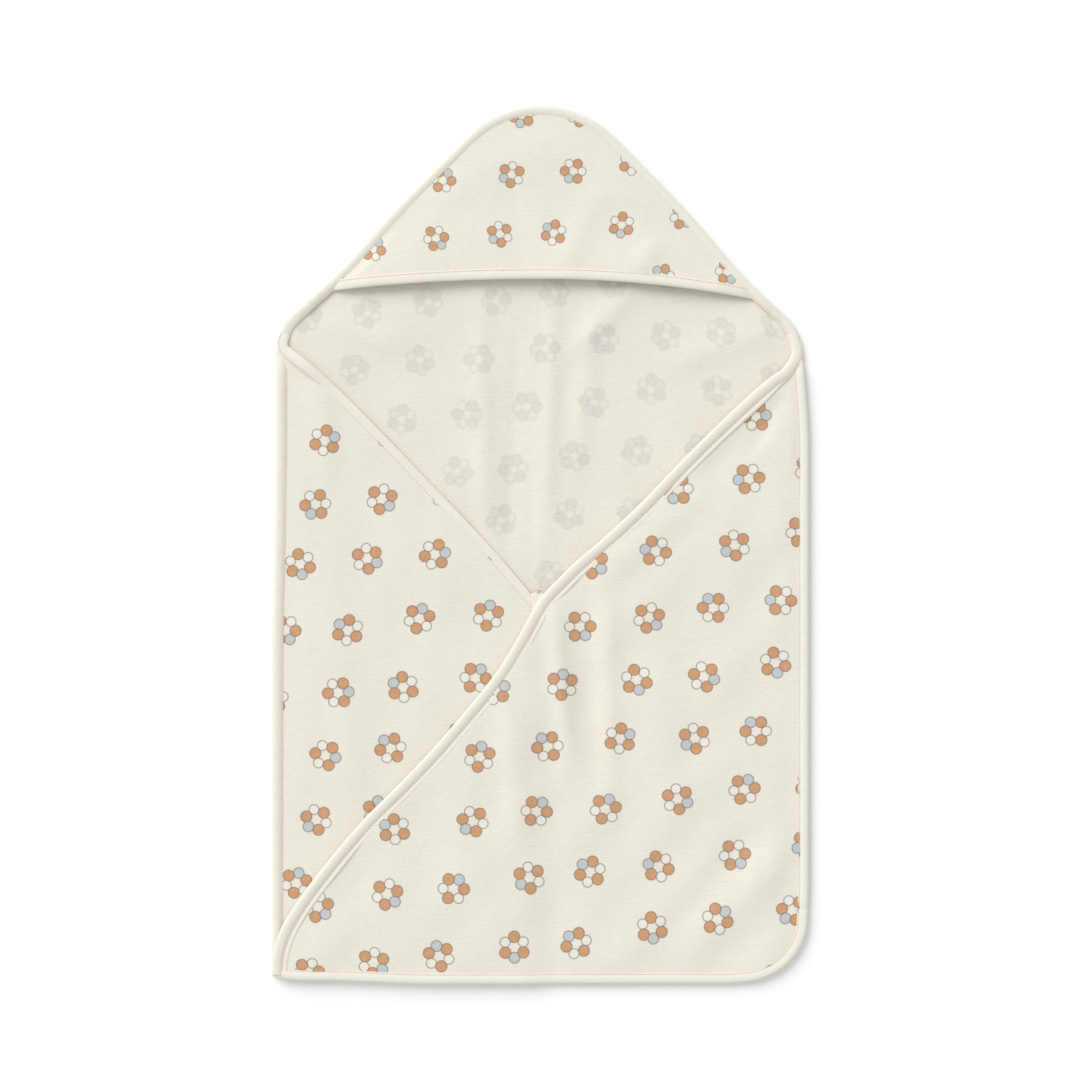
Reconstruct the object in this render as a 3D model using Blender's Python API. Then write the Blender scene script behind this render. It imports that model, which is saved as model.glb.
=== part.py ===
"""A hooded baby towel laid flat: a back panel, two flaps that cross in front, a hood and its edge bindings."""

import math

import bpy

# Driving sizes, in metres. +Y runs to the hood, +Z is up, and the back lies on z = 0.
LENGTH = 0.800  # top of the hood to the bottom hem
WIDTH = 0.484  # across the side bindings
PANEL_T = 0.0018  # one layer of towelling
TAPE_W = 0.010  # width of the sewn binding
TAPE_T = 0.0032  # thickness of the binding round one layer
GAP = 0.0003  # clearance between touching pieces
HOOD_ROUND = 0.0945  # radius at the top of the hood
SHOULDER_ROUND = 0.046  # radius where the slope meets the side
CORNER_ROUND = 0.052  # bottom corner on the right
HOOD_ARCH = 0.016  # how much lower the hood's front edge would be at the sides than in its middle
EDGE_RISE = 0.024  # the middle of that edge above the line that the hood folds on
FOLD_RISE = 0.0063  # that line above the round of the shoulders
CROSS_DROP = 0.454  # top of the hood to where the flaps cross
FLAP_RISE = 0.0026  # the left flap's free edge leaves the side binding this far above the shoulder
LEFT_FLAP_STOP = 0.003  # the left flap ends this far short of the centre line
POINTS = 14  # points in each rounded corner

# The free edge of the right flap, as shares of the half width and of the height from hem to shoulder.
FLAP_EDGE = (
    (1.020, 1.010),
    (0.832, 0.943),
    (0.528, 0.824),
    (0.226, 0.697),
    (0.074, 0.636),
    (-0.090, 0.533),
    (-0.210, 0.456),
    (-0.662, 0.253),
    (-0.903, 0.126),
    (-0.990, 0.030),
    (-1.010, -0.040),
)

HALF = WIDTH / 2
TOP = LENGTH / 2
HEM = -LENGTH / 2
PEAK = TOP + HOOD_ROUND * (math.sqrt(2) - 1)  # where the two slopes would meet
SHOULDER = PEAK - HALF - SHOULDER_ROUND * math.tan(math.pi / 8)  # the side is upright below this
FOLD = SHOULDER + SHOULDER_ROUND * math.sin(math.pi / 4) + FOLD_RISE
HOOD_EDGE = FOLD + EDGE_RISE  # the middle of the hood's front edge
CROSS = TOP - CROSS_DROP
LEFT_Z = TAPE_T + GAP
RIGHT_Z = LEFT_Z + TAPE_T + GAP
HOOD_Z = RIGHT_Z
SIDE_IN = HALF - TAPE_W  # inner face of a side binding


def arc(centre, radius, start, end):
    """Points along an arc, from one angle to another, in degrees."""
    angles = [math.radians(start + (end - start) * i / POINTS) for i in range(POINTS + 1)]
    return [(centre[0] + radius * math.cos(a), centre[1] + radius * math.sin(a)) for a in angles]


def mirrored(path):
    return [(-x, y) for x, y in path]


def smooth(points, steps=8):
    """A curve through every point but the first and the last, which only steer its ends."""
    made = []
    for p0, p1, p2, p3 in zip(points, points[1:], points[2:], points[3:]):
        for i in range(steps):
            t = i / steps
            made.append(
                tuple(
                    0.5
                    * (
                        2 * b
                        + (c - a) * t
                        + (2 * a - 5 * b + 4 * c - d) * t * t
                        + (3 * b - a - 3 * c + d) * t**3
                    )
                    for a, b, c, d in zip(p0, p1, p2, p3)
                )
            )
    return made + [points[-2]]


def offset(path, distance):
    """The path moved to its left by a distance."""
    moved = []
    for i, (x, y) in enumerate(path):
        x0, y0 = path[max(i - 1, 0)]
        x1, y1 = path[min(i + 1, len(path) - 1)]
        run = math.hypot(x1 - x0, y1 - y0)
        moved.append((x - distance * (y1 - y0) / run, y + distance * (x1 - x0) / run))
    return moved


def clipped(path, axis, limit, above):
    """The stretch of a path on one side of a line across x (axis 0) or y (axis 1)."""
    sign = 1 if above else -1
    kept = []
    for p, q in zip(path, path[1:]):
        dp, dq = sign * (p[axis] - limit), sign * (q[axis] - limit)
        if dp >= 0:
            kept.append(p)
        if dp * dq < 0:
            t = dp / (dp - dq)
            kept.append((p[0] + t * (q[0] - p[0]), p[1] + t * (q[1] - p[1])))
    if sign * (path[-1][axis] - limit) >= 0:
        kept.append(path[-1])
    return kept


def slope(y, inset):
    """x of the hood's right slope at a height, moved in by an inset."""
    return PEAK - inset * math.sqrt(2) - y


def hood_line(low, inset):
    """The hood's edge from its right end at y = low, over the top, to its left end."""
    crown = arc((0, TOP - HOOD_ROUND), HOOD_ROUND - inset, 45, 135)
    return [(slope(low, inset), low)] + crown + [(-slope(low, inset), low)]


def shoulder_line(high, low, inset):
    """The right shoulder from y = high on the slope to y = low on the side."""
    centre = (HALF - SHOULDER_ROUND, SHOULDER)
    bend = arc(centre, SHOULDER_ROUND - inset, 45, 0)
    return [(slope(high, inset), high)] + bend + [(HALF - inset, low)]


def corner_line(inset, left):
    """The bottom edge from x = left, round the right corner and up to the side."""
    centre = (HALF - CORNER_ROUND, HEM + CORNER_ROUND)
    return [(left, HEM + inset)] + arc(centre, CORNER_ROUND - inset, -90, 0)


def arch(x, drop):
    """y of the hood's front edge, moved up by a drop."""
    return HOOD_EDGE - HOOD_ARCH * (x / HALF) ** 2 + drop


def arch_line(drop, inset):
    """The front edge from its left end to its right end, where it meets the slopes moved in by an inset."""
    end = 0.8 * HALF
    for _ in range(40):
        end = slope(arch(end, drop), inset)
    return [(end * (i / 24 - 1), arch(end * (i / 24 - 1), drop)) for i in range(49)]


def flap_edge():
    """The free edge of the right flap, from its shoulder down to its tip."""
    points = [(u * HALF, HEM + v * (SHOULDER - HEM)) for u, v in FLAP_EDGE]
    first = (2 * points[0][0] - points[1][0], 2 * points[0][1] - points[1][1])
    last = (2 * points[-1][0] - points[-2][0], 2 * points[-1][1] - points[-2][1])
    return smooth([first] + points + [last])


def flap_line(inset):
    """The right flap's free edge moved in, between the side binding and the hem."""
    line = clipped(offset(flap_edge(), inset), 0, SIDE_IN - GAP, False)
    return clipped(line, 0, -HALF, True)


def make_material(name, colour, roughness):
    made = bpy.data.materials.new(name)
    made.use_nodes = True
    shader = made.node_tree.nodes["Principled BSDF"]
    shader.inputs["Base Color"].default_value = (*colour, 1)
    shader.inputs["Roughness"].default_value = roughness
    shader.inputs["Metallic"].default_value = 0.0
    return made


def layer(name, outline, low, thickness, colour, roughness):
    """One flat solid from a closed outline, standing on z = low."""
    curve = bpy.data.curves.new(name, "CURVE")
    curve.dimensions = "2D"
    curve.fill_mode = "BOTH"
    curve.extrude = thickness / 2
    spline = curve.splines.new("POLY")
    spline.points.add(len(outline) - 1)
    for point, (x, y) in zip(spline.points, outline):
        point.co = (x, y, 0, 1)
    spline.use_cyclic_u = True
    made = bpy.data.objects.new(name, curve)
    made.location.z = low + thickness / 2
    curve.materials.append(make_material(name, colour, roughness))
    towel.objects.link(made)
    return made


def panel(name, outline, low):
    return layer(name, outline, low, PANEL_T, (0.80, 0.76, 0.66), 0.95)


def binding(name, outer, inner, low=0.0, high=TAPE_T):
    return layer(name, outer + inner[::-1], low, high - low, (0.78, 0.73, 0.61), 0.85)


def make_back():
    """The layer that lies underneath, up to the line that the hood folds on, and its hem."""
    inset = TAPE_W + GAP
    right = shoulder_line(FOLD - GAP / 2, HEM + CORNER_ROUND, inset)
    left = mirrored(shoulder_line(FOLD - GAP / 2, HEM + inset, inset))
    panel("back_panel", corner_line(inset, -HALF + inset) + right[::-1] + left, 0)
    binding("back_hem_binding", corner_line(0, -HALF), corner_line(TAPE_W, -HALF))


def make_sides():
    """The side bindings that each flap turns on, and the shoulder bindings above them."""
    tops = {"left": LEFT_Z + TAPE_T, "right": RIGHT_Z + TAPE_T}
    feet = {"left": HEM + TAPE_W + GAP, "right": HEM + CORNER_ROUND + GAP}
    for side, turn in (("left", mirrored), ("right", list)):
        outer, inner = ([(HALF - i, SHOULDER - GAP), (HALF - i, feet[side])] for i in (0, TAPE_W))
        binding(f"{side}_side_binding", turn(outer), turn(inner), 0, tops[side])
        outer, inner = (shoulder_line(FOLD - GAP / 2, SHOULDER, i) for i in (0, TAPE_W))
        binding(f"{side}_shoulder_binding", turn(outer), turn(inner[:-1]), 0, tops[side])


def make_hood():
    """The hood's two layers, joined by the rim binding, and its bound front edge."""
    inset = TAPE_W + GAP
    low = FOLD + GAP / 2
    panel("hood_back_panel", hood_line(low, inset), 0)
    binding("hood_rim_binding", hood_line(low, 0), hood_line(low, TAPE_W), 0, HOOD_Z + TAPE_T)
    front = arch_line(TAPE_W + GAP, inset)
    crown = hood_line(front[-1][1], inset)
    panel("hood_front_panel", front[:-1] + crown[:-1], HOOD_Z)
    lower, upper = arch_line(0, inset), arch_line(TAPE_W, inset)
    binding("hood_edge_binding", lower, upper, HOOD_Z, HOOD_Z + TAPE_T)


def make_left_flap():
    """The flap underneath, which turns on the left side and ends at the centre line."""
    rise = SHOULDER + FLAP_RISE
    fall = (rise - CROSS) / (SIDE_IN - LEFT_FLAP_STOP)
    down = math.hypot(1, fall)  # height of the slanted binding for each unit of its width

    def line(inset, low):
        left, right = -SIDE_IN + GAP, -LEFT_FLAP_STOP - inset
        starts = rise - fall * (left + SIDE_IN) - inset * down
        ends = rise - fall * (right + SIDE_IN) - inset * down
        return [(left, starts), (right, ends), (right, low)]

    edge = line(TAPE_W + GAP, HEM + TAPE_W + GAP)
    panel("left_flap_panel", edge + [(edge[0][0], edge[-1][1])], LEFT_Z)
    binding("left_flap_edge_binding", line(0, HEM), line(TAPE_W, HEM), LEFT_Z, LEFT_Z + TAPE_T)
    ends = (-HALF, -LEFT_FLAP_STOP - TAPE_W - GAP)
    hem, seam = ([(x, HEM + i) for x in ends] for i in (0, TAPE_W))
    binding("left_flap_hem_binding", hem, seam, LEFT_Z, LEFT_Z + TAPE_T)


def make_right_flap():
    """The flap on top, whose free edge crosses from the right shoulder to the bottom left corner."""
    inset = TAPE_W + GAP
    edge = clipped(flap_line(inset), 1, HEM + inset, True)
    corner = corner_line(inset, edge[-1][0])
    panel("right_flap_panel", edge + corner[1:], RIGHT_Z)
    outer, inner = (clipped(flap_line(i), 1, HEM, True) for i in (0, TAPE_W))
    binding("right_flap_edge_binding", outer, inner, RIGHT_Z, RIGHT_Z + TAPE_T)
    meets = flap_line(inset)
    hem = corner_line(0, clipped(meets, 1, HEM, True)[-1][0])
    seam = corner_line(TAPE_W, clipped(meets, 1, HEM + TAPE_W, True)[-1][0])
    binding("right_flap_hem_binding", hem, seam, RIGHT_Z, RIGHT_Z + TAPE_T)


for old in list(bpy.data.objects):
    bpy.data.objects.remove(old)
towel = bpy.data.collections.new("hooded_baby_towel")
bpy.context.scene.collection.children.link(towel)
make_back()
make_sides()
make_hood()
make_left_flap()
make_right_flap()
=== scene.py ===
import math
import bpy
import numpy as np
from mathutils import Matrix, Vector


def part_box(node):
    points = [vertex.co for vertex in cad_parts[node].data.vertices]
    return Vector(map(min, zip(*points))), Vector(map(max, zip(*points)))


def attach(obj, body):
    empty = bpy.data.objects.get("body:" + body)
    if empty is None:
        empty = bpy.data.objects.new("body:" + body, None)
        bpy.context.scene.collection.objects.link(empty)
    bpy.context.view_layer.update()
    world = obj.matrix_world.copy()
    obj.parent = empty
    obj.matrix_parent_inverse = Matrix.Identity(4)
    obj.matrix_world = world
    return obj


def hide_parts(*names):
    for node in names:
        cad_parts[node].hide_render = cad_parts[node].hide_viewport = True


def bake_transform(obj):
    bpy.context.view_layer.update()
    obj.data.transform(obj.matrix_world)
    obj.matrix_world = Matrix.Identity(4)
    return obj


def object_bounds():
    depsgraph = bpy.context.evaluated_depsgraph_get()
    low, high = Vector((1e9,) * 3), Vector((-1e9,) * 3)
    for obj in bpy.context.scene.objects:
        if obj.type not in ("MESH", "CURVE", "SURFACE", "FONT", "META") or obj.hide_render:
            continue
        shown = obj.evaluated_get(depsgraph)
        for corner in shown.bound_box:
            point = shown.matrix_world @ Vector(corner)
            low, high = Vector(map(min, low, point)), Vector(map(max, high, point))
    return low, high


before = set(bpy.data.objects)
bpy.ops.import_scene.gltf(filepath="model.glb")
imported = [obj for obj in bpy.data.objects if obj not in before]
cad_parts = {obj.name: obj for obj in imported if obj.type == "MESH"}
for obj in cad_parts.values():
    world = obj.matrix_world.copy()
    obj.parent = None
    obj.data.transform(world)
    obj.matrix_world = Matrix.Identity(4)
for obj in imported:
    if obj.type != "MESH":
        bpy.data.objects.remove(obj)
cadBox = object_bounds()
print("frame loaded")

# sizes read from the frame
half = cadBox[1].x
topY = cadBox[1].y
hemY = cadBox[0].y
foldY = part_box("back_panel")[1].y
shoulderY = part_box("right_side_binding")[1].y
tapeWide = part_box("left_side_binding")[1].x + half
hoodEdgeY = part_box("hood_edge_binding")[1].y - tapeWide
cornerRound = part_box("right_side_binding")[0].y - hemY
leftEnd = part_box("left_flap_edge_binding")[1].x
tuckIn = tapeWide * 0.45                 # how far a sheet's edge stops inside its tape
sheetThick = 0.0016

outline = {
    "apexRound": 0.0945,
    "shoulderRound": 0.046,
    "archLeft": 0.016,
    "archRight": 0.026,
    "crossY": topY - 0.454,
    "flapRise": 0.0026,
    "leftFull": 0.0105,
}
peakY = topY + outline["apexRound"] * (math.sqrt(2) - 1)


def ramp(t):
    t = np.clip(t, 0.0, 1.0)
    return t * t * (3 - 2 * t)


def topLine(x, inset=0.0):
    # the hood's round top, its slopes and the shoulders
    x = np.abs(x)
    r = outline["apexRound"]
    s = outline["shoulderRound"]
    crown = topY - r + np.sqrt(np.maximum((r - inset) ** 2 - x ** 2, 0))
    slope = peakY - inset * math.sqrt(2) - x
    bend = peakY - half - s * math.tan(math.pi / 8)
    across = np.clip(x - (half - s), 0, s - inset)
    rounded = bend + np.sqrt(np.maximum((s - inset) ** 2 - across ** 2, 0))
    y = np.where(x < (r - inset) / math.sqrt(2), crown, slope)
    return np.where(x > half - s + (s - inset) / math.sqrt(2), rounded, y)


def bottomLine(x, inset=0.0):
    # straight hem with the round corner on the right
    across = np.clip(x - (half - cornerRound), 0, cornerRound - inset)
    return hemY + cornerRound - np.sqrt((cornerRound - inset) ** 2 - across ** 2)


def archLine(x):
    return hoodEdgeY - np.where(x < 0, outline["archLeft"], outline["archRight"]) * (x / half) ** 2


def spline(points, step=0.0025):
    # a smooth curve through the points, sampled evenly
    p = np.array(points, float)
    p = np.vstack([2 * p[0] - p[1], p, 2 * p[-1] - p[-2]])
    made = []
    for a, b, c, d in zip(p, p[1:], p[2:], p[3:]):
        for t in np.linspace(0, 1, 24, endpoint=False):
            made.append(0.5 * (2 * b + (c - a) * t + (2 * a - 5 * b + 4 * c - d) * t ** 2
                               + (3 * b - a - 3 * c + d) * t ** 3))
    made.append(p[-2])
    return evenly(made, step)


def evenly(points, step=0.0025):
    p = np.array(points, float)
    along = np.concatenate([[0], np.cumsum(np.linalg.norm(np.diff(p, axis=0), axis=1))])
    count = max(int(round(along[-1] / step)), 2)
    want = np.linspace(0, along[-1], count + 1)
    return np.stack([np.interp(want, along, p[:, k]) for k in range(p.shape[1])], 1)


def sideways(path):
    # unit vectors to the left of the path, level with the floor
    t = np.gradient(path[:, :2], axis=0)
    t /= np.linalg.norm(t, axis=1)[:, None]
    return np.stack([-t[:, 1], t[:, 0]], 1)


# the free edges of the flaps, outer edge of their tape
riseY = shoulderY + outline["flapRise"]
innerLeft = -half + tapeWide
fall = (riseY - outline["crossY"]) / (leftEnd - innerLeft)


def leftEdge(x):
    # nearly straight, a little full
    s = np.clip((x - innerLeft) / (leftEnd - innerLeft), 0, 1)
    return riseY - fall * (x - innerLeft) + outline["leftFull"] * (1 - (2 * s - 1) ** 4) * (1 - 0.25 * s)


# the upper flap's S-shaped edge, as shares of the half width and of the height from hem to shoulder
rightShares = [
    (0.955, 0.990), (0.933, 0.974), (0.832, 0.943), (0.680, 0.887), (0.528, 0.824),
    (0.377, 0.757), (0.226, 0.697), (0.150, 0.670),
    (0.072, 0.638), (-0.011, 0.599), (-0.095, 0.535), (-0.185, 0.476),
    (-0.373, 0.380), (-0.514, 0.316), (-0.662, 0.253), (-0.791, 0.189), (-0.903, 0.126),
    (-0.967, 0.078), (-0.996, 0.035), (-1.000, 0.006),
]
rightOuter = spline([(u * half, hemY + v * (shoulderY - hemY)) for u, v in rightShares])


def rightEdge(x):
    order = np.argsort(rightOuter[:, 0])
    return np.interp(x, rightOuter[order, 0], rightOuter[order, 1])


def fromShoulder(side, edge):
    # the binding's outer edge: down the inside of the shoulder, then on along the flap's free edge
    inner = outline["shoulderRound"] - tapeWide
    turns = np.radians(np.linspace(20, 5, 5))
    middle = half - outline["shoulderRound"]
    bend = [(side * (middle + inner * math.cos(t)), shoulderY + inner * math.sin(t)) for t in turns]
    return spline(bend + edge)


rightPath = fromShoulder(1, rightOuter[::6].tolist() + [rightOuter[-1].tolist()])
leftReach = leftEnd + 0.0025              # its corner lies under the roll
leftXs = np.linspace(innerLeft + 0.005, leftReach - 0.004, 24)
leftPath = fromShoulder(-1, [(x, float(leftEdge(x))) for x in leftXs]
                        + [(leftReach, float(leftEdge(leftReach)) - 0.006),
                           (leftReach, hemY + 0.1), (leftReach, hemY)])


def crease(x, y, start, end, width, height):
    # a soft ridge (or hollow, if height is below zero) along a line
    a, b = np.array(start), np.array(end)
    d = b - a
    t = ((x - a[0]) * d[0] + (y - a[1]) * d[1]) / (d @ d)
    far = np.abs((x - a[0]) * d[1] - (y - a[1]) * d[0]) / math.sqrt(d @ d)
    ends = ramp((t + 0.25) / 0.5) * ramp((1.25 - t) / 0.5)
    return height * np.exp(-(far / width) ** 2) * ends


def ripple(x, y, seed, length, height):
    # a few long waves in seeded directions, always the same
    rng = np.random.default_rng(seed)
    total = np.zeros_like(x)
    for i in range(9):
        turn = rng.uniform(0, math.pi)
        size = length * rng.uniform(0.55, 1.8)
        phase = rng.uniform(0, 2 * math.pi)
        bend = 0.25 * np.sin((x * math.sin(turn) - y * math.cos(turn)) / size * 3.1 + phase * 2)
        total += np.sin((x * math.cos(turn) + y * math.sin(turn)) / size * 2 * math.pi + phase + bend)
    return height * total / 3


backSheet = {
    "columns": 190, "rows": 245, "top": 0.0024, "deep": 1.3, "ripple": 0.0006, "rippleLength": 0.085,
    "creases": [
        ((-0.055, 0.215), (-0.050, 0.020), 0.011, 0.0016),
        ((-0.020, 0.190), (-0.030, -0.020), 0.008, -0.0009),
        ((0.012, 0.225), (0.004, 0.000), 0.010, 0.0018),
        ((0.050, 0.205), (0.030, 0.060), 0.011, 0.0013),
        ((0.090, 0.235), (0.030, 0.175), 0.012, 0.0018),
        ((0.215, 0.195), (0.120, 0.165), 0.014, 0.0016),
        ((-0.200, 0.205), (-0.130, 0.180), 0.014, 0.0015),
    ],
}
leftSheet = {
    "columns": 130, "rows": 220, "deep": 1.6, "ripple": 0.0006, "rippleLength": 0.095,
    "creases": [
        ((-0.200, 0.160), (-0.195, 0.060), 0.013, 0.0014),
        ((-0.150, 0.040), (-0.080, -0.060), 0.016, 0.0009),
        ((-0.190, -0.060), (-0.165, -0.230), 0.017, 0.0009),
    ],
}
rightSheet = {
    "columns": 215, "rows": 220, "deep": 1.6, "ripple": 0.0008, "rippleLength": 0.090,
    "creases": [
        ((0.012, -0.065), (0.024, -0.190), 0.010, 0.0026),
        ((0.040, -0.060), (0.050, -0.200), 0.012, -0.0014),
        ((0.060, -0.050), (0.062, -0.240), 0.012, 0.0016),
        ((-0.030, -0.130), (-0.020, -0.260), 0.012, 0.0016),
        ((0.150, 0.050), (0.060, -0.030), 0.015, 0.0014),
        ((0.205, 0.130), (0.150, 0.060), 0.013, -0.0012),
        ((0.225, -0.280), (0.150, -0.360), 0.017, 0.0009),
        ((0.190, -0.270), (0.120, -0.350), 0.014, -0.0010),
        ((-0.080, -0.250), (-0.040, -0.360), 0.018, 0.0012),
        ((0.110, -0.120), (0.120, -0.260), 0.018, 0.0010),
        ((0.234, 0.150), (0.226, 0.070), 0.006, 0.0016),
        ((0.222, 0.135), (0.190, 0.085), 0.008, -0.0012),
    ],
}
hoodSheet = {
    "columns": 190, "rows": 90, "deep": 1.5, "ripple": 0.0006, "rippleLength": 0.080,
    "creases": [
        ((0.020, 0.250), (0.055, 0.320), 0.015, 0.0012),
        ((-0.020, 0.252), (-0.030, 0.330), 0.015, -0.0008),
        ((0.090, 0.245), (0.110, 0.275), 0.012, 0.0012),
    ],
}


def folds(x, y, s, seed):
    total = ripple(x, y, seed, s["rippleLength"], s["ripple"])
    for c in s["creases"]:
        total = total + s["deep"] * crease(x, y, *c)
    return total


def backHeight(x, y):
    # top face of the back, flattest at its taped edges
    rim = np.minimum(np.minimum(half - np.abs(x), y - hemY), (topLine(x) - y) * 0.8)
    inside = ramp((rim - 0.004) / 0.035)
    return backSheet["top"] + inside * (0.0004 + folds(x, y, backSheet, 11))


def leftHeight(x, y):
    side = ramp((x + half - 0.004) / 0.03)
    free = ramp((leftEdge(x) - y) / 0.03)
    base = 0.0046 + 0.0014 * side
    return base + side * (0.35 + 0.65 * free) * folds(x, y, leftSheet, 23)


def rightHeight(x, y):
    # higher where the left flap lies underneath
    over = ramp((leftEnd + 0.020 - x) / 0.034) * ramp((leftEdge(x) + 0.010 - y) / 0.03)
    side = ramp((half - x - 0.004) / 0.03)
    free = ramp((rightEdge(x) - y) / 0.028)
    hem = ramp((y - bottomLine(x)) / 0.03)
    base = 0.0066 + 0.0028 * over
    body = side * (0.30 + 0.70 * free) * (0.25 + 0.75 * hem)
    return base + body * (0.0006 + folds(x, y, rightSheet, 37))


def hoodHeight(x, y):
    rim = ramp((topLine(x) - y - 0.004) / 0.045)
    lift = ramp((archLine(x) + 0.07 - y) / 0.07) * (1 - (x / half) ** 4)
    return 0.0056 + rim * (0.0022 + folds(x, y, hoodSheet, 51)) + ramp(rim * 2.5) * 0.0044 * lift


settling = {
    "neck": 0.0062, "neckAt": 0.250, "neckLong": 0.040, "rightNeck": 0.0090, "rightNeckAt": 0.238,
    "rightNeckLong": 0.052, "spread": 0.0037, "sag": 0.0032, "cornerUp": 0.0028,
}


def settle(points):
    # real cloth never keeps its pattern's lines: the neck draws in, the sides spread and the hem sags
    q = settling
    x, y, z = np.array(points, float).T
    share = np.clip(np.abs(x) / np.clip(peakY - y, 0.05, half), 0, 1.1)
    leftIn = q["neck"] * np.exp(-((y - q["neckAt"]) / q["neckLong"]) ** 2)
    leftIn -= q["spread"] * ramp((0.10 - y) / 0.25)
    rightIn = q["rightNeck"] * np.exp(-((y - q["rightNeckAt"]) / q["rightNeckLong"]) ** 2)
    rightIn = rightIn - q["spread"] * ramp((0.17 - y) / 0.08) * ramp((y - hemY) / 0.09)
    low = ramp((hemY + 0.12 - y) / 0.10)
    sag = q["sag"] * ramp((x + 0.20) / 0.10) * ramp((0.215 - x) / 0.05)
    up = q["cornerUp"] * ramp((-0.215 - x) / 0.03)
    return np.stack([x + share * np.where(x < 0, leftIn, -rightIn), y - low * (sag - up), z], 1)


def meshObject(name, verts, faces, uvs, material):
    verts = settle(verts)
    mesh = bpy.data.meshes.new(name)
    mesh.from_pydata(verts.tolist(), [], faces)
    layer = mesh.uv_layers.new(name="cloth")
    loops = np.zeros(len(mesh.loops), np.int32)
    mesh.loops.foreach_get("vertex_index", loops)
    layer.uv.foreach_set("vector", uvs[loops].astype(np.float32).ravel())
    mesh.materials.append(material)
    mesh.shade_smooth()
    made = bpy.data.objects.new(name, mesh)
    bpy.context.scene.collection.objects.link(made)
    return made


def clothSheet(name, xs, low, high, height, rows, material, under):
    # one layer of towelling: columns across, rows from its low edge to its high edge
    v = np.linspace(0, 1, rows + 1)[None, :]
    lo, hi = low(xs)[:, None], high(xs)[:, None]
    y = lo + (hi - lo) * v
    x = np.repeat(xs[:, None], rows + 1, 1)
    z = height(x, y)
    verts = np.stack([x, y, z], 2).reshape(-1, 3)
    n = rows + 1
    faces = [
        (i * n + j, (i + 1) * n + j, (i + 1) * n + j + 1, i * n + j + 1)
        for i in range(len(xs) - 1) for j in range(rows)
    ]
    made = meshObject(name, verts, faces, verts[:, :2], material)
    solid = made.modifiers.new("thickness", "SOLIDIFY")
    solid.thickness = sheetThick
    solid.offset = -1
    made.data.materials.append(under)
    solid.material_offset = 1
    return made


# half of the tape's section, outer edge first: share of width, share of half thickness
tapeSection = [
    (0.00, 0.00), (0.03, 0.48), (0.12, 0.84), (0.28, 1.00), (0.46, 0.99),
    (0.62, 0.88), (0.75, 0.72), (0.84, 0.50), (0.91, 0.58), (0.97, 0.46), (1.00, 0.10),
]


# the upper flap's edge is rolled over, with a second fine ridge beside it
rolledSection = [
    (0.00, 0.00), (0.02, 0.45), (0.09, 0.80), (0.22, 1.00), (0.40, 1.03), (0.60, 0.93), (0.78, 0.66),
    (0.92, 0.36), (1.02, 0.20), (1.12, 0.30), (1.22, 0.42), (1.33, 0.36), (1.42, 0.16), (1.46, 0.02),
]


def tape(name, path, middle, thick, section, seed=5, left=True, flat=0.55, grow=1):
    # a folded binding along the outer edge of a piece; the path is that outer edge
    n = len(path)
    path = np.column_stack([path[:, :2], np.broadcast_to(middle, n)])
    inward = np.column_stack([sideways(path) * (1 if left else -1), np.zeros(n)])
    ahead = np.gradient(path, axis=0)
    ahead /= np.linalg.norm(ahead, axis=1)[:, None]
    up = np.cross(ahead, inward) * (1 if left else -1)
    up /= np.linalg.norm(up, axis=1)[:, None]
    rng = np.random.default_rng(seed)
    places = np.arange(n)

    def wobble(step):
        knots = np.arange(0, n + step, step)
        return np.interp(places, knots, rng.uniform(-1, 1, len(knots)))

    pucker, swell = wobble(2), wobble(12)
    thick = np.broadcast_to(thick, n)
    ring = [(u, h, 1) for u, h in section] + [(u, h, -1) for u, h in section[-2:0:-1]]
    metres = np.concatenate([[0], np.cumsum(np.linalg.norm(np.diff(path, axis=0), axis=1))])
    groove = 1.02 if section is rolledSection else 0.84
    rows, uvs = [], []
    for k, (u, h, face) in enumerate(ring):
        reach = (min(u, 0.99) + max(u - 0.99, 0) * grow) * tapeWide * (1 + 0.012 * swell)
        tall = h * thick / 2 * (1 + 0.05 * swell + (0.10 if u > 0.6 else 0.035) * pucker)
        tall = tall * (1 if face > 0 else -flat)
        rows.append(path + inward * reach[:, None] + up * tall[:, None])
        uvs.append(np.stack([metres, np.full(n, face * u / groove * tapeWide)], 1))
    verts = np.stack(rows, 1).reshape(-1, 3)
    uv = np.stack(uvs, 1).reshape(-1, 2)
    m = len(ring)
    faces = []
    for i in range(n - 1):
        for k in range(m):
            a, b = i * m + k, i * m + (k + 1) % m
            faces.append((a, b, b + m, a + m) if left else (a, a + m, b + m, b))
    first, last = tuple(range(m)), tuple(range((n - 1) * m, n * m))
    faces += [first[::-1], last] if left else [first, last[::-1]]
    return meshObject(name, verts, faces, uv, tapeCloth)


def newMaterial(name, roughness, sheen):
    made = bpy.data.materials.new(name)
    made.use_nodes = True
    shader = made.node_tree.nodes["Principled BSDF"]
    shader.inputs["Roughness"].default_value = roughness
    shader.inputs["Specular IOR Level"].default_value = 0.25
    shader.inputs["Sheen Weight"].default_value = sheen
    shader.inputs["Sheen Roughness"].default_value = 0.45
    return made, made.node_tree, shader


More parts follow.
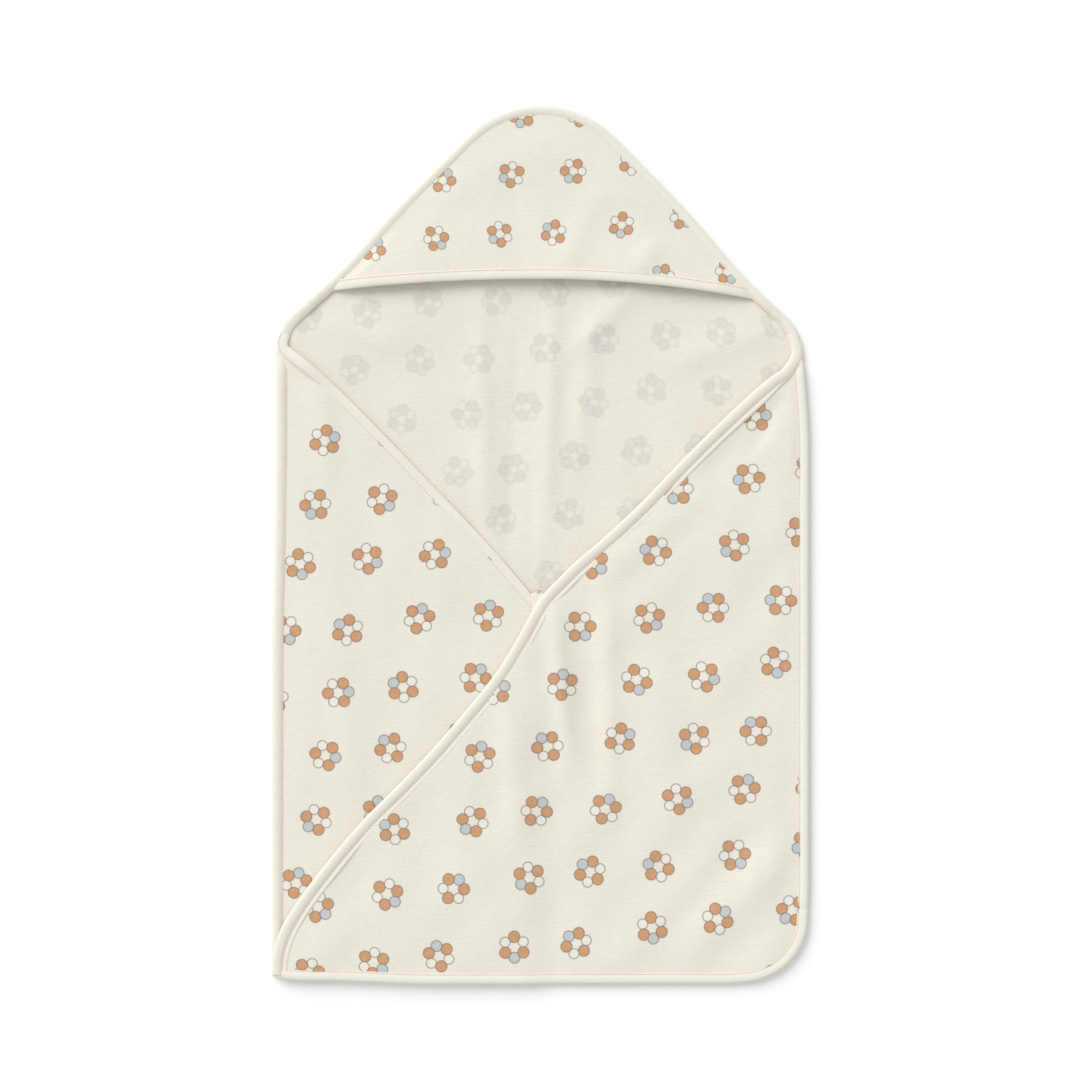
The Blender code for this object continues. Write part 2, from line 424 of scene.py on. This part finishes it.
class Wires:
    # short ways to add and link nodes
    def __init__(self, tree):
        self.tree = tree

    def add(self, kind, **settings):
        node = self.tree.nodes.new(kind)
        for key, value in settings.items():
            setattr(node, key, value)
        return node

    def put(self, socket, value):
        if isinstance(value, bpy.types.NodeSocket):
            self.tree.links.new(value, socket)
        else:
            socket.default_value = value

    def math(self, operation, *values, clamp=False):
        node = self.add("ShaderNodeMath", operation=operation, use_clamp=clamp)
        for socket, value in zip(node.inputs, values):
            self.put(socket, value)
        return node.outputs[0]

    def vector(self, operation, *values, scale=None):
        node = self.add("ShaderNodeVectorMath", operation=operation)
        for socket, value in zip(node.inputs, values):
            self.put(socket, value)
        if scale is not None:
            self.put(node.inputs["Scale"], scale)
        return node.outputs["Value" if operation in ("DOT_PRODUCT", "LENGTH") else "Vector"]

    def mix(self, amount, a, b):
        node = self.add("ShaderNodeMix", data_type="RGBA")
        self.put(node.inputs[0], amount)
        self.put(node.inputs[6], a)
        self.put(node.inputs[7], b)
        return node.outputs[2]

    def noise(self, where, scale, detail=2.0, rough=0.5, result="Fac"):
        node = self.add("ShaderNodeTexNoise")
        self.put(node.inputs["Vector"], where)
        node.inputs["Scale"].default_value = scale
        node.inputs["Detail"].default_value = detail
        node.inputs["Roughness"].default_value = rough
        return node.outputs[result]


printColours = {
    "front": {"tan": (0.655, 0.375, 0.205, 1), "deep": (0.540, 0.285, 0.140, 1),
              "blue": (0.530, 0.570, 0.585, 1),
              "white": (0.805, 0.780, 0.712, 1), "line": (0.200, 0.130, 0.095, 1)},
    "through": {"tan": (0.690, 0.666, 0.612, 1), "deep": (0.630, 0.606, 0.560, 1),
                "blue": (0.700, 0.680, 0.636, 1),
                "white": (0.780, 0.752, 0.678, 1), "line": (0.570, 0.547, 0.510, 1)},
}
printLattice = {
    "row": (0.0625, 0.0070), "column": (0.0120, 0.0590), "size": 0.0188,
    "wander": 0.0100, "line": 0.024,
}
# a plain teething ring of six beads: how large each bead is, for its colour
beadSizes = {"tan": 0.27, "white": 0.24, "blue": 0.26}
beads = ["tan", "white", "tan", "blue", "tan", "white"]
beadRing = 0.50


def beadPrint(w, cloth, ground, seed, first, size, apart, fade, paint):
    # each cell of a slanted lattice holds one ring of beads, turned at random
    a, b = ([apart * v for v in printLattice[k]] for k in ("row", "column"))
    det = a[0] * b[1] - a[1] * b[0]
    corner = [(a[k] + b[k]) / 2 - first[k] for k in (0, 1)]
    at = w.vector("ADD", cloth, (*corner, 0))
    i = w.math("FLOOR", w.vector("DOT_PRODUCT", at, (b[1] / det, -b[0] / det, 0)))
    j = w.math("FLOOR", w.vector("DOT_PRODUCT", at, (-a[1] / det, a[0] / det, 0)))
    cell = w.add("ShaderNodeCombineXYZ")
    w.put(cell.inputs[0], i)
    w.put(cell.inputs[1], j)
    cell.inputs[2].default_value = seed
    dice = w.add("ShaderNodeTexWhiteNoise", noise_dimensions="3D")
    w.put(dice.inputs["Vector"], cell.outputs[0])
    alongRow = w.vector("SCALE", (a[0], a[1], 0), scale=w.math("ADD", i, 0.5))
    alongColumn = w.vector("SCALE", (b[0], b[1], 0), scale=w.math("ADD", j, 0.5))
    centre = w.vector("ADD", alongRow, alongColumn)
    wander = w.vector("SCALE", w.vector("SUBTRACT", dice.outputs["Color"], (0.5, 0.5, 0.5)),
                      scale=printLattice["wander"] * apart)
    local = w.vector("SUBTRACT", w.vector("SUBTRACT", at, centre), wander)
    local = w.vector("MULTIPLY", local, (1, 1, 0))
    turn = w.add("ShaderNodeVectorRotate", rotation_type="Z_AXIS")
    w.put(turn.inputs["Vector"], local)
    w.put(turn.inputs["Angle"], w.math("MULTIPLY", dice.outputs["Value"], 2 * math.pi))
    p = w.vector("SCALE", turn.outputs[0], scale=1 / size)
    stain = w.math("MULTIPLY_ADD", w.noise(cloth, 260, 2), 1.6, -0.35, clamp=True)
    tan = w.mix(stain, paint["tan"], paint["deep"])
    colour = ground
    for number, fill in enumerate(beads):
        t = number * 2 * math.pi / len(beads)
        off = w.vector("SUBTRACT", p, (beadRing * math.cos(t), beadRing * math.sin(t), 0))
        gap = w.math("SUBTRACT", w.vector("LENGTH", off), beadSizes[fill])
        inside = w.math("MULTIPLY_ADD", gap, -1 / fade, 0.5, clamp=True)
        rim = w.math("MULTIPLY_ADD", w.math("ABSOLUTE", gap), -1 / fade,
                     0.5 + printLattice["line"] / fade, clamp=True)
        colour = w.mix(inside, colour, tan if fill == "tan" else paint[fill])
        colour = w.mix(w.math("MULTIPLY", rim, 0.80), colour, paint["line"])
    return colour


def towelling(name, seed, first, size=printLattice["size"], apart=1.0, through=False):
    made, tree, shader = newMaterial(name, 0.92, 0.25)
    w = Wires(tree)
    cloth = w.add("ShaderNodeUVMap", uv_map="cloth").outputs[0]
    broad = w.noise(cloth, 14, 2)
    patches = w.noise(cloth, 95, 3, 0.6)
    slubs = w.noise(w.vector("MULTIPLY", cloth, (0.30, 1.3, 1)), 330, 3, 0.6)
    pile = w.noise(cloth, 400, 3, 0.7)
    cream, shade = (0.838, 0.810, 0.720, 1), (0.745, 0.705, 0.602, 1)
    ground = w.mix(w.math("MULTIPLY_ADD", broad, 0.5, -0.05, clamp=True), cream, shade)
    ground = w.mix(w.math("MULTIPLY_ADD", patches, 0.9, -0.35, clamp=True), ground, shade)
    ground = w.mix(w.math("MULTIPLY_ADD", slubs, 1.1, -0.42, clamp=True), ground, shade)
    ground = w.mix(w.math("MULTIPLY_ADD", pile, 1.2, -0.50, clamp=True), ground, shade)
    if through:
        # the print of the other face, pale and broken up by the pile
        shift = w.vector("SUBTRACT", w.noise(cloth, 330, result="Color"), (0.5, 0.5, 0.5))
        moved = w.vector("ADD", cloth, w.vector("SCALE", shift, scale=0.0030))
        marks = beadPrint(w, moved, ground, seed, first, size, apart, 0.20, printColours["through"])
        patchy = w.math("MULTIPLY_ADD", w.noise(cloth, 480, 2), 1.5, -0.08, clamp=True)
        colour = w.mix(patchy, ground, marks)
    else:
        colour = beadPrint(w, cloth, ground, seed, first, size, apart, 0.05, printColours["front"])
    w.put(shader.inputs["Base Color"], colour)
    grain = w.math("ADD", w.math("MULTIPLY", pile, 0.8), w.math("MULTIPLY", slubs, 0.7))
    bump = w.add("ShaderNodeBump")
    bump.inputs["Strength"].default_value = 0.45
    bump.inputs["Distance"].default_value = 0.0009
    w.put(bump.inputs["Height"], grain)
    w.put(shader.inputs["Normal"], bump.outputs[0])
    return made


def jersey(name):
    # the binding's fine rib, along the tape, with painted shade darkening the groove that the stitches pull
    # in
    made, tree, shader = newMaterial(name, 0.85, 0.30)
    w = Wires(tree)
    cloth = w.add("ShaderNodeUVMap", uv_map="cloth").outputs[0]
    broad = w.noise(cloth, 30, 2)
    ribs = w.noise(w.vector("MULTIPLY", cloth, (1.0, 2.2, 1)), 700, 2, 0.5)
    # the last colour is painted shade for the groove
    cream, shade, grooveShade = (0.840, 0.809, 0.716, 1), (0.795, 0.757, 0.655, 1), (0.700, 0.625, 0.490, 1)
    colour = w.mix(w.math("MULTIPLY_ADD", broad, 0.7, -0.1, clamp=True), cream, shade)
    colour = w.mix(w.math("MULTIPLY_ADD", ribs, 1.2, -0.5, clamp=True), colour, shade)
    across = w.add("ShaderNodeSeparateXYZ")
    w.put(across.inputs[0], cloth)
    # painted shade: a band about 1.2 mm wide along the groove is mixed toward the darker colour
    off = w.math("ABSOLUTE", w.math("SUBTRACT", across.outputs[1], tapeWide))
    groove = w.math("MULTIPLY_ADD", off, -900, 0.55, clamp=True)
    w.put(shader.inputs["Base Color"], w.mix(groove, colour, grooveShade))
    bump = w.add("ShaderNodeBump")
    bump.inputs["Strength"].default_value = 0.5
    bump.inputs["Distance"].default_value = 0.0006
    w.put(bump.inputs["Height"], ribs)
    w.put(shader.inputs["Normal"], bump.outputs[0])
    return made


def threadMaterial():
    made, tree, shader = newMaterial("thread", 0.6, 0.1)
    w = Wires(tree)
    where = w.add("ShaderNodeTexCoord").outputs["Object"]
    twist = w.noise(where, 1500, 1)
    w.put(shader.inputs["Base Color"], w.mix(twist, (0.76, 0.68, 0.52, 1), (0.62, 0.53, 0.38, 1)))
    return made


outsideCloth = towelling("towelling_outside", 4.0, (0.000, 0.000))
insideCloth = towelling("towelling_inside", 2.0, (0.000, 0.177), 0.0178, 0.90, through=True)
leftCloth = towelling("towelling_left", 3.0, (-0.194, -0.194))
rightCloth = towelling("towelling_right", 5.0, (0.135, -0.177))
hoodCloth = towelling("towelling_hood", 7.0, (0.016, 0.287), 0.0158, 0.92)
tapeCloth = jersey("binding_jersey")
thread = threadMaterial()
print("materials made")

# sheets of towelling
inLeft = -half + tuckIn
inRight = half - tuckIn
xs = np.linspace(inLeft, inRight, backSheet["columns"] + 1)
back = clothSheet("back_towelling", xs, lambda x: bottomLine(x, 0) + tuckIn, lambda x: topLine(x, tuckIn),
                  backHeight, backSheet["rows"], insideCloth, outsideCloth)
xs = np.linspace(inLeft, leftReach - tuckIn, leftSheet["columns"] + 1)
left = clothSheet("left_flap_towelling", xs, lambda x: hemY + tuckIn + 0 * x,
                  lambda x: leftEdge(x) - tuckIn * 1.4, leftHeight, leftSheet["rows"], leftCloth, insideCloth)
xs = np.linspace(inLeft + 0.002, inRight, rightSheet["columns"] + 1)
right = clothSheet("right_flap_towelling", xs, lambda x: bottomLine(x, 0) + tuckIn,
                   lambda x: np.maximum(rightEdge(x) - tuckIn * 1.4, bottomLine(x, 0) + tuckIn + 0.0005),
                   rightHeight, rightSheet["rows"], rightCloth, insideCloth)
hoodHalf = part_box("hood_edge_binding")[1].x + tapeWide * 0.6
xs = np.linspace(-hoodHalf, hoodHalf, hoodSheet["columns"] + 1)
hood = clothSheet("hood_towelling", xs, lambda x: archLine(x) + tuckIn,
                  lambda x: np.maximum(topLine(x, tuckIn), archLine(x) + tuckIn + 0.0005),
                  hoodHeight, hoodSheet["rows"], hoodCloth, insideCloth)
print("sheets laid")

# bindings
tapeSizes = {"one": 0.0038, "two": 0.0060, "rolled": 0.0052}


def onTop(path, height, sink=0.0008):
    return height(path[:, 0], path[:, 1]) - sink


def alongTop(start, end):
    # the outline from one x to another over the hood
    return evenly([(x, float(topLine(np.array(x)))) for x in np.linspace(start, end, 900)])


tapes = {}
rimPath = evenly([(half, shoulderY - 0.010)] + alongTop(half, -half).tolist() + [(-half, shoulderY - 0.010)])
layers = ramp((rimPath[:, 1] - (hoodEdgeY - outline["archLeft"] - 0.02)) / 0.02)
low = 1 - ramp((rimPath[:, 1] - shoulderY + 0.010) / 0.022)
rimThick = tapeSizes["one"] + (tapeSizes["two"] - tapeSizes["one"]) * layers - 0.0020 * low
rimMiddle = 0.0026 + 0.0012 * layers - 0.0002 * low
tapes["hood_rim_tape"] = (rimPath, rimMiddle, rimThick, True)
reach = np.linspace(-half, half, 1200)
reach = reach[archLine(reach) < topLine(reach, tapeWide * 0.5) - tapeWide * 0.4]
edgePath = evenly([(x, float(archLine(x))) for x in reach])
ending = ramp(np.minimum(np.arange(len(edgePath)), np.arange(len(edgePath))[::-1]) * 0.0025 / 0.045)
tapes["hood_edge_tape"] = (edgePath, onTop(edgePath, hoodHeight) + 0.0004 - 0.0022 * (1 - ending),
                           0.0022 + (tapeSizes["one"] - 0.0022) * ending, True)


def sideTape(side, end, middle, thick, leftward):
    # it comes out from under the shoulder's binding
    path = evenly([(side * half, shoulderY + 0.003), (side * half, end)])
    out = ramp((shoulderY + 0.003 - path[:, 1]) / 0.030) * ramp((path[:, 1] - end) / 0.024)
    return path, 0.0024 + (middle - 0.0024) * out, 0.0024 + (thick - 0.0024) * out, leftward


tapes["left_side_tape"] = sideTape(-1, hemY + 0.001, 0.0038, tapeSizes["two"], True)
tapes["right_side_tape"] = sideTape(1, hemY + cornerRound - 0.004, 0.0050, tapeSizes["two"], False)
corner = [(half - cornerRound + cornerRound * math.sin(t), hemY + cornerRound - cornerRound * math.cos(t))
          for t in np.linspace(0, math.pi / 2, 40)]
corner.append((half, hemY + cornerRound + 0.030))
hemPath = evenly([(-half, hemY)] + corner)
thin = ramp((np.arange(len(hemPath))[::-1]) * 0.0025 / 0.024)
tapes["back_hem_tape"] = (hemPath, 0.0024, 0.0024 + (tapeSizes["one"] - 0.0024) * thin, True)
hemHigh = evenly([(-half + 0.004, hemY)] + corner)
thin = ramp((np.arange(len(hemHigh))[::-1]) * 0.0025 / 0.024)
tapes["right_flap_hem_tape"] = (hemHigh, onTop(hemHigh, rightHeight) * thin + 0.0046 * (1 - thin),
                                0.0024 + (tapeSizes["one"] - 0.0024) * thin, True)
lowPath = evenly([(-half + 0.002, hemY), (leftEnd, hemY)])
tapes["left_flap_hem_tape"] = (lowPath, 0.0052, 0.0032, True)


def turned(path, height, thick, lift, proud, leftward):
    # the binding comes out of the shoulder's, rises on edge and then lies along the flap
    along = np.arange(len(path)) * 0.0025
    out = ramp((along - 0.002) / 0.030)
    on = ramp((along - 0.004) / 0.045)
    crest = lift * np.exp(-((along - 0.028) / 0.022) ** 2)
    middle = 0.0027 * (1 - on) + (onTop(path, height) + proud) * on + crest
    return path, middle, 0.0026 + (thick - 0.0026) * out, leftward


tapes["left_flap_edge_tape"] = turned(leftPath, leftHeight, 0.0020, 0.0034, 0.0001, False)
tapes["right_flap_edge_tape"] = turned(rightPath, rightHeight, tapeSizes["rolled"], 0.0014, 0.0006, True)

made = {}
for number, (name, (path, middle, thick, leftward)) in enumerate(tapes.items()):
    rolled = name == "right_flap_edge_tape"
    grow = ramp((np.arange(len(path)) * 0.0025 - 0.027) / 0.040) if rolled else 1
    made[name] = tape(name, path, middle, thick, rolledSection if rolled else tapeSection,
                      seed=60 + number, left=leftward, grow=grow)
print("bindings sewn on")

# stitches
stitch = {"pitch": 0.0034, "length": 0.0024, "thick": 0.00052}


def stitchTree():
    tree = bpy.data.node_groups.new("stitches", "GeometryNodeTree")
    face = tree.interface
    face.new_socket("Geometry", in_out="INPUT", socket_type="NodeSocketGeometry")
    face.new_socket("Pitch", in_out="INPUT", socket_type="NodeSocketFloat")
    face.new_socket("Length", in_out="INPUT", socket_type="NodeSocketFloat")
    face.new_socket("Thickness", in_out="INPUT", socket_type="NodeSocketFloat")
    face.new_socket("Material", in_out="INPUT", socket_type="NodeSocketMaterial")
    face.new_socket("Geometry", in_out="OUTPUT", socket_type="NodeSocketGeometry")
    add, link = tree.nodes.new, tree.links.new
    given, result = add("NodeGroupInput"), add("NodeGroupOutput")
    line = add("GeometryNodeMeshToCurve")
    spaced = add("GeometryNodeResampleCurve")
    spaced.mode = "LENGTH"
    bead = add("GeometryNodeMeshUVSphere")
    bead.inputs["Segments"].default_value = 6
    bead.inputs["Rings"].default_value = 4
    bead.inputs["Radius"].default_value = 0.5
    size = add("ShaderNodeCombineXYZ")
    tangent = add("GeometryNodeInputTangent")
    turn = add("FunctionNodeAlignEulerToVector")
    turn.axis = "X"
    spread = add("GeometryNodeInstanceOnPoints")
    real = add("GeometryNodeRealizeInstances")
    paint = add("GeometryNodeSetMaterial")
    link(given.outputs["Geometry"], line.inputs["Mesh"])
    link(line.outputs["Curve"], spaced.inputs["Curve"])
    link(given.outputs["Pitch"], spaced.inputs["Length"])
    link(spaced.outputs["Curve"], spread.inputs["Points"])
    link(bead.outputs["Mesh"], spread.inputs["Instance"])
    link(given.outputs["Length"], size.inputs[0])
    link(given.outputs["Thickness"], size.inputs[1])
    link(given.outputs["Thickness"], size.inputs[2])
    link(tangent.outputs["Tangent"], turn.inputs["Vector"])
    link(turn.outputs["Rotation"], spread.inputs["Rotation"])
    link(size.outputs[0], spread.inputs["Scale"])
    link(spread.outputs["Instances"], real.inputs["Geometry"])
    link(real.outputs["Geometry"], paint.inputs["Geometry"])
    link(given.outputs["Material"], paint.inputs["Material"])
    link(paint.outputs["Geometry"], result.inputs["Geometry"])
    return tree


def stitchesAlong(name, lines, tree):
    mesh = bpy.data.meshes.new(name + "_line")
    verts, edges = [], []
    for line in lines:
        edges += [(len(verts) + i, len(verts) + i + 1) for i in range(len(line) - 1)]
        verts += line.tolist()
    mesh.from_pydata(verts, edges, [])
    guide = bpy.data.objects.new(name + "_line", mesh)
    bpy.context.scene.collection.objects.link(guide)
    sewing = guide.modifiers.new("stitches", "NODES")
    sewing.node_group = tree
    wanted = {"Pitch": stitch["pitch"], "Length": stitch["length"],
              "Thickness": stitch["thick"], "Material": thread}
    for item in tree.interface.items_tree:
        if item.item_type == "SOCKET" and item.in_out == "INPUT" and item.name in wanted:
            sewing[item.identifier] = wanted[item.name]
    graph = bpy.context.evaluated_depsgraph_get()
    sewn = bpy.data.meshes.new_from_object(guide.evaluated_get(graph))
    sewn.shade_smooth()
    result = bpy.data.objects.new(name, sewn)
    bpy.context.scene.collection.objects.link(result)
    bpy.data.objects.remove(guide)
    return result


def seamLine(name, share=0.84, lift=0.0):
    path, middle, thick, leftward = tapes[name]
    side = sideways(path) * (1 if leftward else -1)
    n = len(path)
    z = np.broadcast_to(middle, n) + np.broadcast_to(thick, n) * 0.27 + lift + 0.0002
    return settle(np.column_stack([path[:, :2] + side * share * tapeWide, z]))


tree = stitchTree()
seams = {name: stitchesAlong(name.replace("_tape", "_stitches"), [seamLine(name)], tree) for name in tapes}
print("stitches sewn")

# the back's side and hem tapes are parented to the back's body; the other pieces only have their transforms
# baked; the frame's parts they replace are hidden
leftTurn = {"start": (-half + 0.001, 0, 0), "end": (-half + 0.016, 0, 0)}
rightTurn = {"start": (half - 0.001, 0, 0), "end": (half - 0.016, 0, 0)}
hoodTurn = {"start": (0, foldY, 0), "end": (0, foldY + 0.030, 0)}


def moves(piece, body, turn):
    if turn is None:
        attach(piece, body)
    else:
        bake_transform(piece)


def moveTape(name, body, turn, *nodes):
    moves(made[name], body, turn)
    moves(seams[name], body, turn)
    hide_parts(*nodes)


moves(back, "hood", hoodTurn)
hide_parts("back_panel", "hood_back_panel")
moves(left, "left_flap", leftTurn)
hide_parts("left_flap_panel")
moves(right, "right_flap", rightTurn)
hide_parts("right_flap_panel")
moves(hood, "hood", hoodTurn)
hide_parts("hood_front_panel")
moveTape("hood_rim_tape", "hood", hoodTurn,
         "hood_rim_binding", "left_shoulder_binding", "right_shoulder_binding")
moveTape("hood_edge_tape", "hood", hoodTurn, "hood_edge_binding")
moveTape("left_side_tape", "back", None, "left_side_binding")
moveTape("right_side_tape", "back", None, "right_side_binding")
moveTape("back_hem_tape", "back", None, "back_hem_binding")
moveTape("left_flap_hem_tape", "left_flap", leftTurn, "left_flap_hem_binding")
moveTape("left_flap_edge_tape", "left_flap", leftTurn, "left_flap_edge_binding")
moveTape("right_flap_hem_tape", "right_flap", rightTurn, "right_flap_hem_binding")
moveTape("right_flap_edge_tape", "right_flap", rightTurn, "right_flap_edge_binding")


# floor, light and camera
floorMesh = bpy.data.meshes.new("floor")
floorMesh.from_pydata([(-6, -6, 0), (6, -6, 0), (6, 6, 0), (-6, 6, 0)], [], [(0, 1, 2, 3)])
floorMaterial, floorTree, floorShader = newMaterial("floor_white", 0.9, 0.0)
floorShader.inputs["Base Color"].default_value = (0.97, 0.97, 0.97, 1)
floorMesh.materials.append(floorMaterial)
floor = bpy.data.objects.new("floor", floorMesh)
bpy.context.scene.collection.objects.link(floor)

studio = {"sky": 0.67, "sun": 1.92, "soft": 38.0, "from": (-1.0, 1.15, 1.15)}
world = bpy.data.worlds.new("studio")
bpy.context.scene.world = world
world.use_nodes = True
world.node_tree.nodes["Background"].inputs[0].default_value = (1.0, 1.0, 1.0, 1)
world.node_tree.nodes["Background"].inputs[1].default_value = studio["sky"]
lamp = bpy.data.lights.new("key", "SUN")
lamp.energy = studio["sun"]
lamp.angle = math.radians(studio["soft"])
key = bpy.data.objects.new("key", lamp)
key.location = studio["from"]
key.rotation_euler = (-Vector(studio["from"])).to_track_quat("-Z", "Y").to_euler()
bpy.context.scene.collection.objects.link(key)

camera = {"lens": 85.0, "sensor": 36.0, "fieldWidth": 0.9908, "aim": (-0.0004, 0.0026)}
lens = bpy.data.cameras.new("camera")
lens.lens = camera["lens"]
lens.sensor_width = camera["sensor"]
lens.clip_end = 50
eye = bpy.data.objects.new("camera", lens)
eye.location = (*camera["aim"], camera["fieldWidth"] * camera["lens"] / camera["sensor"])
bpy.context.scene.collection.objects.link(eye)
bpy.context.scene.camera = eye
bpy.context.scene.view_settings.view_transform = "Standard"
bpy.context.scene.view_settings.look = "None"
print("stage set")
